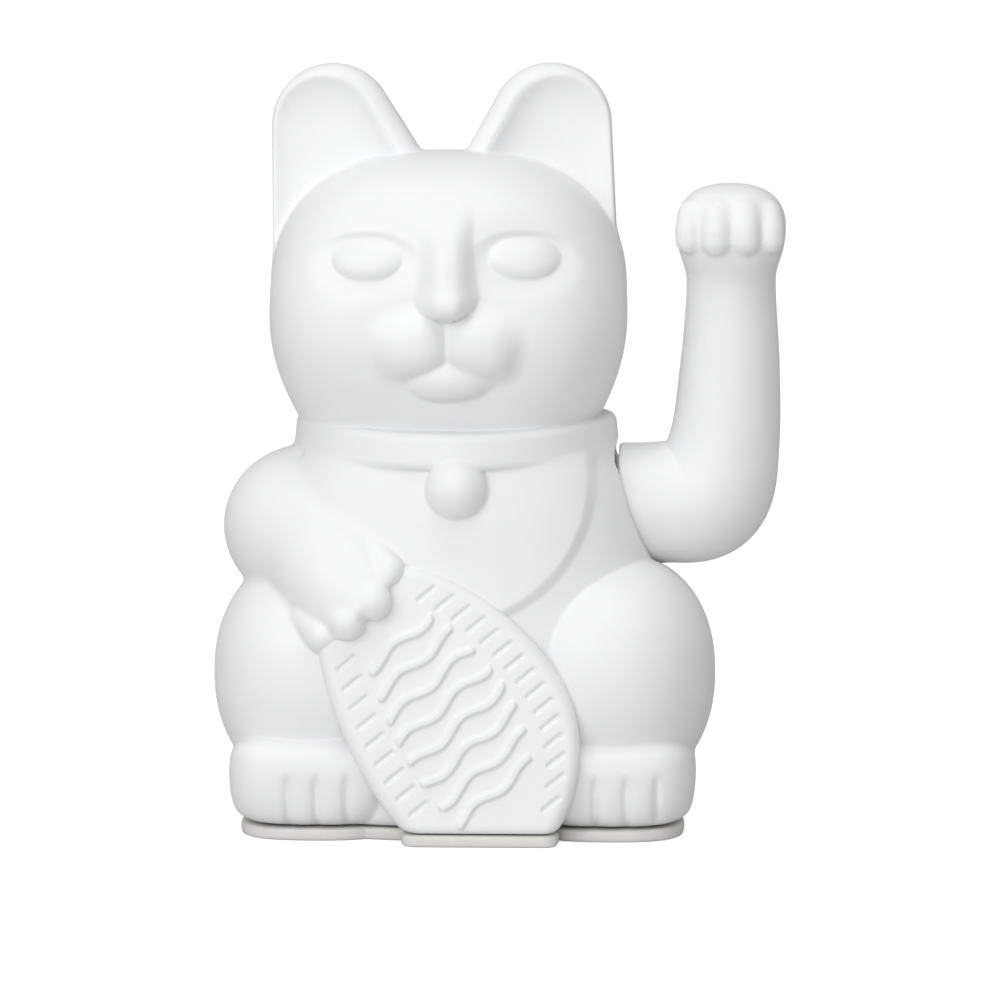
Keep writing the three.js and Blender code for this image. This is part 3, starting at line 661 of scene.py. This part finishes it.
def model_body():
    clay = Clay((-53, -46, -1), (55, 42.5, 152.5), STEP)
    clay.add(loft(TORSO, 2.5))
    bib(clay)
    for side in (-1, 1):
        clay.add(thigh(side), 0.5)
        clay.add(foot(side), 0.6)
    clay.add(smooth_limb(TAIL, 8), 1.6)
    plan = clay.like(clay.d, (-60, -60, -2), (60, 60, 20))
    foot_toes(clay)
    head = clay.like(np.full_like(clay.d, 20))
    head.add(HEAD, pad=9)
    head.d = fillet_max(head.d, JAW.distance(*head.part(*head.reach())[1]), 3)
    face(head)
    for spec in EARS:
        head.add(ear(**spec), 0.8)
    clay.add(collar(), 0.6)
    clay.d = fillet_min(clay.d, head.d, 0.4)
    clay.add(right_arm(), 1.4)
    right_paw(clay)
    clay.add(ball((-0.1, -28.3, 68.7), (6.2, 6.2, 6.2)), 0.5)
    return clay, plan


# ------------------------------------------------------------------ the coin

COIN_CENTRE = np.array((-2.7, -35.0, 18.2))
COIN_HALF = (39.7, 27.9, 27.2, 15.7)  # up, down, right and left of the centre, in its plane
COIN_POWER = 1.91
COIN_DEPTH = 4.1
COIN_ROUND = 2.4
COIN_TILT = math.radians(32)
COIN_LEAN = math.radians(9)


def coin_axes():
    """Unit vectors along the coin, across it and out of its face."""
    out = np.array((0, -math.cos(COIN_LEAN), math.sin(COIN_LEAN)))
    up = np.array((0, math.sin(COIN_LEAN), math.cos(COIN_LEAN)))
    right = np.array((1.0, 0, 0))
    along = up * math.cos(COIN_TILT) - right * math.sin(COIN_TILT)
    across = right * math.cos(COIN_TILT) + up * math.sin(COIN_TILT)
    return along, across, out


def coin_coordinates(x, y, z):
    offset = (x - F32(COIN_CENTRE[0]), y - F32(COIN_CENTRE[1]), z - F32(COIN_CENTRE[2]))
    return [sum(F32(v) * o for v, o in zip(axis, offset)) for axis in coin_axes()]


def coin_edge(u, v):
    """Distance from the coin's egg-shaped edge, in its plane."""
    up, down, right, left = (F32(h) for h in COIN_HALF)
    a, b, p = np.where(u > 0, up, down), np.where(v > 0, right, left), F32(COIN_POWER)
    p1, p2 = np.abs(u) / a, np.abs(v) / b
    k = (p1**p + p2**p) ** (1 / p)
    slope = np.sqrt((p1 ** (p - 1) / a) ** 2 + (p2 ** (p - 1) / b) ** 2)
    return (k - 1) * k ** (p - 1) / np.maximum(slope, F32(1e-4))


def coin():
    def distance(x, y, z):
        u, v, w = coin_coordinates(x, y, z)
        soft = F32(COIN_ROUND)
        a, b = coin_edge(u, v) + soft, np.abs(w) - F32(COIN_DEPTH) + soft
        outer = np.sqrt(np.maximum(a, 0) ** 2 + np.maximum(b, 0) ** 2)
        return outer + np.minimum(np.maximum(a, b), 0) - soft

    return Shape((-28, -46, -2), (29, -20, 60), distance)


def coin_reach(u, side):
    """How far the coin's edge is from its long axis, on one side."""
    a = np.where(u > 0, COIN_HALF[0], COIN_HALF[1])
    share = np.clip(1 - (np.abs(u) / a) ** COIN_POWER, 0, 1) ** (1 / COIN_POWER)
    return share * COIN_HALF[2 if side > 0 else 3]


def hatches(u, v):
    """Short cuts round the rim, all of them nearly square to the coin's length."""
    depth = 0
    for side, first, spacing, count in ((-1, 24.2, 3.95, 9), (1, 27.5, 3.4, 15)):
        for i in range(count):
            at = first - spacing * i
            middle = side * (coin_reach(at, side) - 5.4)
            du, dv = u - at - 0.12 * (v - middle), np.abs(v - middle) - 1.9
            away = np.hypot(du, np.maximum(dv, 0))
            depth = np.maximum(depth, 0.55 * fade(away / 0.75))
    return depth


def ribs(u, v):
    """Wavy raised ribs across the middle of the coin."""
    height = 0
    for i in range(8):
        at = 22.0 - 4.9 * i
        low, high = 9.6 - coin_reach(at, -1), coin_reach(at, 1) - 10.6
        phase = 2 * math.pi * v / 12.5 + 1.1 * i
        du = u - at - 0.16 * (v - (low + high) / 2) - 0.8 * np.sin(phase)
        du = du / np.sqrt(1 + (0.16 + 0.4 * np.cos(phase)) ** 2)
        dv = np.abs(v - (low + high) / 2) - (high - low) / 2
        away = np.hypot(du, np.maximum(dv, 0))
        height = np.maximum(height, 0.75 * fade((away - 0.5) / 0.55))
    return height


def model_coin():
    clay = Clay((-29, -44.5, 0), (28, -20, 58), COIN_STEP)
    clay.add(coin())
    x, y, z = clay.axes[0][:, None, None], clay.axes[1][None, :, None], clay.axes[2][None, None, :]
    # The relief is drawn once in the coin's plane, then laid on its front face.
    u_axis = np.arange(-36, 44, COIN_STEP)
    v_axis = np.arange(-22, 34, COIN_STEP)
    u, v = u_axis[:, None], v_axis[None, :]
    relief = ribs(u, v) - hatches(u, v)
    pu, pv, pw = coin_coordinates(x, y, z)
    iu = np.clip((pu - u_axis[0]) / COIN_STEP, 0, len(u_axis) - 2)
    iv = np.clip((pv - v_axis[0]) / COIN_STEP, 0, len(v_axis) - 2)
    i, j = iu.astype(int), iv.astype(int)
    fu, fv = iu - i, iv - j
    value = (
        relief[i, j] * (1 - fu) * (1 - fv)
        + relief[i + 1, j] * fu * (1 - fv)
        + relief[i, j + 1] * (1 - fu) * fv
        + relief[i + 1, j + 1] * fu * fv
    )
    clay.d -= (value * fade((COIN_DEPTH - 2.0 - pw) / 1.0)).astype(F32)
    clay.d = fillet_max(clay.d, F32(SHELL_FOOT) - z + 0 * clay.d, 1.6)
    return clay


# ------------------------------------------------------------------ shells


def shell_wall(clay, wall):
    """The skin of a form, wall thick."""
    return fillet_max(clay.d, -(clay.d + F32(wall)), 0)


def below(height):
    """Everything under a height."""
    return Shape((-60, -50, -5), (60, 50, height), lambda x, y, z: z - F32(height) + 0 * (x + y))


def halves(skin, names, seam_y):
    """Splits a skin at a plane of constant y into a front and a back piece, 0.3 mm apart."""
    for name, side in zip(names, (1, -1)):
        low, high = (-99, -99 if side > 0 else seam_y - 2, -9), (99, seam_y + 2 if side > 0 else 99, 199)
        half = skin.like(skin.d, low, high)
        y = half.axes[1][None, :, None]
        half.d = np.maximum(half.d, side * (y - F32(seam_y)) + F32(GAP / 2))
        piece = mesh_from(half, name + "_surface")
        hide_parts(name)
        yield piece


def body_shells(body):
    body.cut(below(SHELL_FOOT), 2.6)
    skin = body.like(shell_wall(body, WALL))
    cuts, at = skin.part((SOCKET_FLOOR_X - 3, -20, 40), (42, 18, 84))
    lining = rod_x(SOCKET_FLOOR_X - WALL, 42, SOCKET_R + WALL).distance(*at)
    skin.d[cuts] = np.minimum(skin.d[cuts], np.maximum(lining, body.d[cuts]))
    for x, y in BASE_SCREWS:
        cuts, at = skin.part((x - 5, y - 5, 0), (x + 5, y + 5, POST_TOP + 3))
        post = rod_z(x, y, SHELL_FOOT, POST_TOP, POST_R).distance(*at)
        skin.d[cuts] = np.minimum(skin.d[cuts], np.maximum(post, body.d[cuts]))
    skin.cut(rod_x(SOCKET_FLOOR_X, 60, SOCKET_R))
    skin.cut(rod_x(20, 40, 2.5))
    skin.cut(below(SHELL_FOOT))
    return halves(skin, ("front_shell", "back_shell"), SEAM_Y)


body_clay, plan_clay = model_body()
for piece in body_shells(body_clay):
    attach(piece, "housing")

coin_piece = mesh_from(model_coin(), "coin_surface")
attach(coin_piece, "housing")
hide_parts("front_shell")

# ------------------------------------------------------------------ the base plate

BAY_LOW, BAY_HIGH, BAY_TOP, BAY_WALL = (-29.5, 6.7), (27.5, 22.3), 17.3, 1.2
DOOR_TOP = 1.7
# What stands on a post of the base plate, how high the post is and its radius.
SEATS = [
    ("coil_bobbin", 8.7, 4.4),
    ("frame_screw_1", 7.0, 2.6),
    ("frame_screw_2", 7.0, 2.6),
    ("board_screw_1", 6.7, 2.2),
    ("board_screw_2", 6.7, 2.2),
]


BELOW = -2  # cuts that come out through the underside start here
EDGE_ROUND = 0.7
SCREW_BORE_R, HEAD_RECESS_R, HEAD_RECESS_TOP = 1.4, 2.7, 2.1
LATCH_X, LATCH_HALF, LATCH_TOP = (28.8, 30.8), 4.3, 5.5
TAB_HALF_X, TAB_HALF_Y, TAB_Z = 2, 2.3, (11, 13)


def bay_box(grow, low, high):
    """A box round the battery bay's walls."""
    pad = BAY_WALL + grow
    return block(
        (BAY_LOW[0] - pad, BAY_LOW[1] - pad, low),
        (BAY_HIGH[0] + pad, BAY_HIGH[1] + pad, high),
    )


def model_base(clay):
    """The plate under the figurine, with the battery bay that stands up inside it."""
    x, y = clay.axes[0][:, None, None], clay.axes[1][None, :, None]
    z = clay.axes[2][None, None, :]
    level = int(np.searchsorted(clay.axes[2], SHELL_FOOT + 0.5))
    coin_outline = coin().distance(x, y, clay.axes[2][level])
    outline = np.minimum(clay.d[:, :, level : level + 1], coin_outline)
    plate = fillet_max(outline + F32(0.35), z - F32(BASE_TOP), EDGE_ROUND)
    clay.d = np.ascontiguousarray(fillet_max(plate, -z, EDGE_ROUND))
    clay.add(bay_box(0, DOOR_TOP + GAP, BAY_TOP + BAY_WALL))
    clay.add(bay_box(0.8, BASE_TOP - 1, 4.4))
    for node, top, r in SEATS:
        x, y = middle(node)
        clay.add(rod_z(x, y, BASE_TOP - 1, top, r))
        clay.cut(rod_z(x, y, BASE_TOP, 20, SCREW_BORE_R))
    clay.cut(bay_box(GAP, BELOW, DOOR_TOP + GAP))
    clay.cut(block((BAY_LOW[0], BAY_LOW[1], BELOW), (BAY_HIGH[0], BAY_HIGH[1], BAY_TOP)))
    bay_y = (BAY_LOW[1] + BAY_HIGH[1]) / 2
    clay.cut(
        block(
            (LATCH_X[0], bay_y - LATCH_HALF, BELOW),
            (LATCH_X[1], bay_y + LATCH_HALF, LATCH_TOP),
        )
    )
    for x in (BAY_LOW[0] - BAY_WALL / 2, BAY_HIGH[0] + BAY_WALL / 2):
        clay.cut(
            block(
                (x - TAB_HALF_X, bay_y - TAB_HALF_Y, TAB_Z[0]),
                (x + TAB_HALF_X, bay_y + TAB_HALF_Y, TAB_Z[1]),
            )
        )
    for x, y in BASE_SCREWS:
        clay.cut(rod_z(x, y, BELOW, 4, SCREW_BORE_R))
        clay.cut(rod_z(x, y, BELOW, HEAD_RECESS_TOP, HEAD_RECESS_R))
    return clay


base_piece = mesh_from(model_base(plan_clay), "base_plate_surface")
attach(base_piece, "housing")
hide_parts("base_plate")

# ------------------------------------------------------------------ the raised arm

ARM = [
    (28, -1, 63, 11.9),
    (40, -1, 63.2, 12.1),
    (48.5, -1.3, 65, 12.4),
    (51.8, -1.5, 75, 11.0),
    (52.9, -1.5, 90, 9.9),
    (53.1, -1.5, 104, 8.9),
    (53.0, -2, 112, 8.9),
]


# Each toe of the raised paw: x, y and radius.
ARM_TOES = [(45.0, -10.0, 2.8), (50.3, -11.95, 3.1), (56.05, -12.1, 2.9), (60.9, -10.3, 2.6)]


def model_arm():
    clay = Clay((29, -22, 48), (66, 16, 130), STEP)
    clay.add(smooth_limb(ARM, 14))
    clay.add(ball((53.05, -4.0, 118.2), (10.8, 9.8, 8.7), 2.4, drop=9.8), 3)
    for x, y, r in ARM_TOES:
        inward = (53 - x) * 0.06
        joints = [(x + inward, y + 1.2, 121.3, r), (x, y - 0.2, 118.6, r), (x, y - 0.4, 116.2, r)]
        clay.add(smooth_limb(joints, 12), 0.8)
    return clay


def arm_shells():
    arm = model_arm()
    arm.cut(block((0, -50, 0), (ARM_ROOT_X, 50, 200)), 0.8)
    skin = arm.like(shell_wall(arm, 1.8))
    skin.cut(rod_x(20, 45, 2.2))
    return halves(skin, ("arm_front_shell", "arm_back_shell"), ARM_SEAM_Y)


for piece in arm_shells():
    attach(piece, "waving_arm")

# ------------------------------------------------------------------ materials


class Finish:
    """A node material under construction, with object coordinates in metres."""

    def __init__(self, name, roughness, metallic=0.0):
        self.material = bpy.data.materials.new(name)
        self.material.use_nodes = True
        self.nodes, self.links = self.material.node_tree.nodes, self.material.node_tree.links
        self.shader = self.nodes["Principled BSDF"]
        self.shader.inputs["Roughness"].default_value = roughness
        self.shader.inputs["Metallic"].default_value = metallic
        self.place = self.nodes.new("ShaderNodeTexCoord").outputs["Object"]

    def node(self, kind, settings=None, **inputs):
        node = self.nodes.new("ShaderNode" + kind)
        for key, value in (settings or {}).items():
            setattr(node, key, value)
        for key, value in inputs.items():
            socket = node.inputs[int(key[1:])] if key[1:].isdigit() else node.inputs[key.replace("_", " ")]
            if isinstance(value, bpy.types.NodeSocket):
                self.links.new(value, socket)
            else:
                socket.default_value = value
        return node.outputs[0]

    def stretched(self, scale):
        return self.node("Mapping", Vector=self.place, Scale=scale)

    def noise(self, scale, detail=3.0, place=None):
        place = self.place if place is None else place
        return self.node("TexNoise", Vector=place, Scale=scale, Detail=detail)

    def span(self, value, low, high, start=0.3, stop=0.7):
        """Maps a value between start and stop to the range from low to high."""
        return self.node("MapRange", i0=value, i1=start, i2=stop, i3=low, i4=high)

    def mixed(self, share, one, other):
        colors = [c if isinstance(c, bpy.types.NodeSocket) else (*c, 1) for c in (one, other)]
        return self.node("MixRGB", i0=share, i1=colors[0], i2=colors[1])

    def use(self, color=None, rough=None, bump=None, strength=0.1, depth=0.00005):
        if color is not None:
            self.links.new(color, self.shader.inputs["Base Color"])
        if rough is not None:
            self.links.new(rough, self.shader.inputs["Roughness"])
        if bump is not None:
            normal = self.node("Bump", Height=bump, Strength=strength, Distance=depth)
            self.links.new(normal, self.shader.inputs["Normal"])
        return self.material


def tones(color, change):
    return [tuple(min(c * (1 + sign * change), 1) for c in color) for sign in (-1, 1)]


def moulded(name, color, roughness, change=0.02, grain=1500.0, strength=0.12):
    """Moulded plastic: faint clouds of colour and gloss, and a fine spark-eroded grain."""
    finish = Finish(name, roughness)
    clouds = finish.noise(55)
    return finish.use(
        finish.mixed(finish.span(clouds, 0, 1), *tones(color, change)),
        finish.span(clouds, roughness - 0.04, roughness + 0.04),
        finish.noise(grain, 2.0),
        strength,
    )


def painted_white():
    """Matt white paint over plastic, with soft orange peel and a few tiny flaws."""
    color = (0.83, 0.832, 0.838)
    finish = Finish("matt_white", 0.52)
    clouds = finish.noise(38)
    paint = finish.mixed(finish.span(clouds, 0, 1), *tones(color, 0.012))
    cells = finish.nodes.new("ShaderNodeTexVoronoi")
    cells.inputs["Scale"].default_value = 62
    finish.links.new(finish.place, cells.inputs["Vector"])
    near = finish.span(cells.outputs["Distance"], 1.0, 0.0, 0.018, 0.032)
    chance = finish.node("SeparateColor", Color=cells.outputs["Color"])
    rare = finish.span(chance, 0.0, 0.75, 0.86, 0.87)
    flaw = finish.node("Math", {"operation": "MULTIPLY"}, i0=near, i1=rare)
    finish.use(finish.mixed(flaw, paint, (0.3, 0.28, 0.26)))
    peel = finish.noise(420, 2.0)
    fine = finish.noise(2600, 2.0)
    height = finish.node("Math", {"operation": "MULTIPLY_ADD"}, i0=fine, i1=0.35, i2=peel)
    return finish.use(rough=finish.span(clouds, 0.47, 0.58), bump=height, strength=0.16)


def metal(name, color, roughness, along):
    """Drawn or turned metal, with faint lines along one axis."""
    finish = Finish(name, roughness, 1.0)
    lines = finish.noise(1.0, 4.0, finish.stretched(along))
    return finish.use(
        finish.mixed(finish.span(lines, 0, 1), *tones(color, 0.1)),
        finish.span(lines, roughness - 0.08, roughness + 0.1),
        lines,
        0.1,
    )


def wound_copper():
    """Fine enamelled wire wound in level turns."""
    finish = Finish("copper_wire", 0.3, 1.0)
    turns = finish.nodes.new("ShaderNodeTexWave")
    turns.bands_direction = "Z"
    turns.inputs["Scale"].default_value = 1000
    turns.inputs["Distortion"].default_value = 0.6
    finish.links.new(finish.place, turns.inputs["Vector"])
    lines = turns.outputs["Fac"]
    color = finish.mixed(lines, (0.34, 0.1, 0.03), (0.72, 0.3, 0.12))
    return finish.use(color, None, lines, 0.6, 0.00012)


def circuit_green():
    """Green resist with lighter tracks and pads under it."""
    finish = Finish("green_resist", 0.28)
    tracks = finish.nodes.new("ShaderNodeTexVoronoi")
    tracks.feature = "DISTANCE_TO_EDGE"
    tracks.inputs["Scale"].default_value = 260
    tracks.inputs["Randomness"].default_value = 0.55
    finish.links.new(finish.place, tracks.inputs["Vector"])
    line = finish.span(tracks.outputs["Distance"], 1.0, 0.0, 0.06, 0.1)
    color = finish.mixed(line, (0.016, 0.12, 0.04), (0.05, 0.26, 0.1))
    return finish.use(color, None, line, 0.3, 0.00004)


def cell_film():
    """Blue film shrunk over a cell, whose bare metal shows at both ends."""
    low, high = (np.array(c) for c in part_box("battery_cell"))
    centre, half = (low[0] + high[0]) / 2, (high[0] - low[0]) / 2
    finish = Finish("cell_film", 0.3)
    x = finish.node("SeparateXYZ", Vector=finish.place)
    away = finish.node("Math", {"operation": "SUBTRACT"}, i0=x, i1=float(centre))
    away = finish.node("Math", {"operation": "ABSOLUTE"}, i0=away)
    bare = finish.span(away, 0.0, 1.0, float(half - 0.0023), float(half - 0.0021))
    clouds = finish.noise(300)
    film = finish.mixed(finish.span(clouds, 0, 1), (0.025, 0.07, 0.18), (0.035, 0.09, 0.23))
    color = finish.mixed(bare, film, (0.55, 0.56, 0.57))
    finish.links.new(bare, finish.shader.inputs["Metallic"])
    return finish.use(color, finish.span(clouds, 0.25, 0.36), clouds, 0.1)


def dress(names, material):
    """Gives a material to new pieces and to CAD nodes, without touching a CAD mesh."""
    for name in names:
        piece = bpy.data.objects[name]
        if not piece.material_slots:
            piece.data.materials.append(material)
            continue
        for slot in piece.material_slots:
            slot.link = "OBJECT"
            slot.material = material


SHELLS = ["front_shell", "back_shell", "arm_front_shell", "arm_back_shell"]
WHITE = painted_white()
OFF_WHITE = moulded("off_white_base", (0.72, 0.712, 0.69), 0.5, 0.03)
GREY = moulded("grey_plastic", (0.27, 0.28, 0.29), 0.45, 0.05, 1100)
BLACK = moulded("black_plastic", (0.016, 0.016, 0.017), 0.4, 0.15, 900)
STEEL = metal("drawn_steel", (0.5, 0.51, 0.52), 0.3, (60, 3000, 3000))
PLATING = metal("bright_plating", (0.56, 0.57, 0.58), 0.16, (700, 700, 700))
CAST = metal("cast_weight", (0.36, 0.37, 0.38), 0.5, (900, 900, 900))
RED = moulded("red_sleeve", (0.42, 0.02, 0.015), 0.55, 0.1, 2200)
DARK = moulded("black_sleeve", (0.013, 0.013, 0.014), 0.55, 0.1, 2200)
dress([name + "_surface" for name in SHELLS + ["coin"]], WHITE)
dress(SHELLS, WHITE)
dress(["base_plate_surface", "base_plate", "battery_door"], OFF_WHITE)
dress(["mechanism_frame", "pendulum_lever", "arm_hub"], GREY)
dress(["driver_chip", "capacitor", "coil_bobbin"], BLACK)
dress([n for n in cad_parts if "screw" in n or "contact" in n or "axle" in n], STEEL)
dress(["magnet"], PLATING)
dress(["counterweight"], CAST)
dress(["coil_winding"], wound_copper())
dress(["circuit_board"], circuit_green())
dress(["battery_cell"], cell_film())
dress(["lead_red"], RED)
dress(["lead_black"], DARK)

# ------------------------------------------------------------------ camera, floor and light

camera = bpy.data.objects.new("camera", bpy.data.cameras.new("camera"))
bpy.context.scene.collection.objects.link(camera)
AZIMUTH = math.radians(2.5)
DISTANCE = 1.5
camera.location = (DISTANCE * math.sin(AZIMUTH), -DISTANCE * math.cos(AZIMUTH), 0.245)
AIM = Vector((0.00728, 0, 0.0633))
camera.rotation_euler = (AIM - camera.location).to_track_quat("-Z", "Y").to_euler()
camera.data.sensor_width = 36
camera.data.lens = 273.45
bpy.context.scene.camera = camera

def studio_floor():
    """A pale floor that looks as bright as the surround but lights the cat less than that."""
    mesh = bpy.data.meshes.new("floor")
    mesh.from_pydata([(-4, -4, 0), (4, -4, 0), (4, 4, 0), (-4, 4, 0)], [], [(0, 1, 2, 3)])
    plane = bpy.data.objects.new("floor", mesh)
    bpy.context.scene.collection.objects.link(plane)
    pale = Finish("pale_floor", 0.8)
    pale.shader.inputs["Base Color"].default_value = (0.62, 0.62, 0.62, 1)
    seen = pale.nodes.new("ShaderNodeLightPath").outputs["Is Camera Ray"]
    glow = pale.node("Math", {"operation": "MULTIPLY"}, i0=seen, i1=FLOOR_GLOW)
    pale.links.new(glow, pale.shader.inputs["Emission Strength"])
    pale.shader.inputs["Emission Color"].default_value = (1, 1, 1, 1)
    mesh.materials.append(pale.material)


def studio_world():
    """An even white surround, dimmer as a light than it is to look at."""
    world = bpy.data.worlds.new("studio")
    world.use_nodes = True
    nodes, links = world.node_tree.nodes, world.node_tree.links
    seen, path = nodes["Background"], nodes.new("ShaderNodeLightPath")
    seen.inputs["Strength"].default_value = 1.0
    lit = nodes.new("ShaderNodeBackground")
    lit.inputs["Strength"].default_value = FILL
    mix = nodes.new("ShaderNodeMixShader")
    links.new(path.outputs["Is Camera Ray"], mix.inputs[0])
    links.new(lit.outputs[0], mix.inputs[1])
    links.new(seen.outputs[0], mix.inputs[2])
    links.new(mix.outputs[0], nodes["World Output"].inputs["Surface"])
    for node in (seen, lit):
        node.inputs["Color"].default_value = (1, 1, 1, 1)
    bpy.context.scene.world = world


def area_light(name, location, size, power, target=(0, 0, 0.07)):
    lamp = bpy.data.lights.new(name, "AREA")
    lamp.size = size
    lamp.energy = power
    thing = bpy.data.objects.new(name, lamp)
    bpy.context.scene.collection.objects.link(thing)
    thing.location = location
    aim = Vector(target) - Vector(location)
    thing.rotation_euler = aim.to_track_quat("-Z", "Y").to_euler()


FLOOR_GLOW = 0.74
FILL = 0.45
studio_floor()
studio_world()
area_light("key", (-0.6, -0.8, 0.5), 0.5, 2.8)
area_light("front", (-0.05, -1.15, 0.35), 0.6, 3.3)
area_light("top", (0.0, -0.25, 1.1), 0.7, 3.6)
bpy.context.scene.view_settings.view_transform = "Standard"
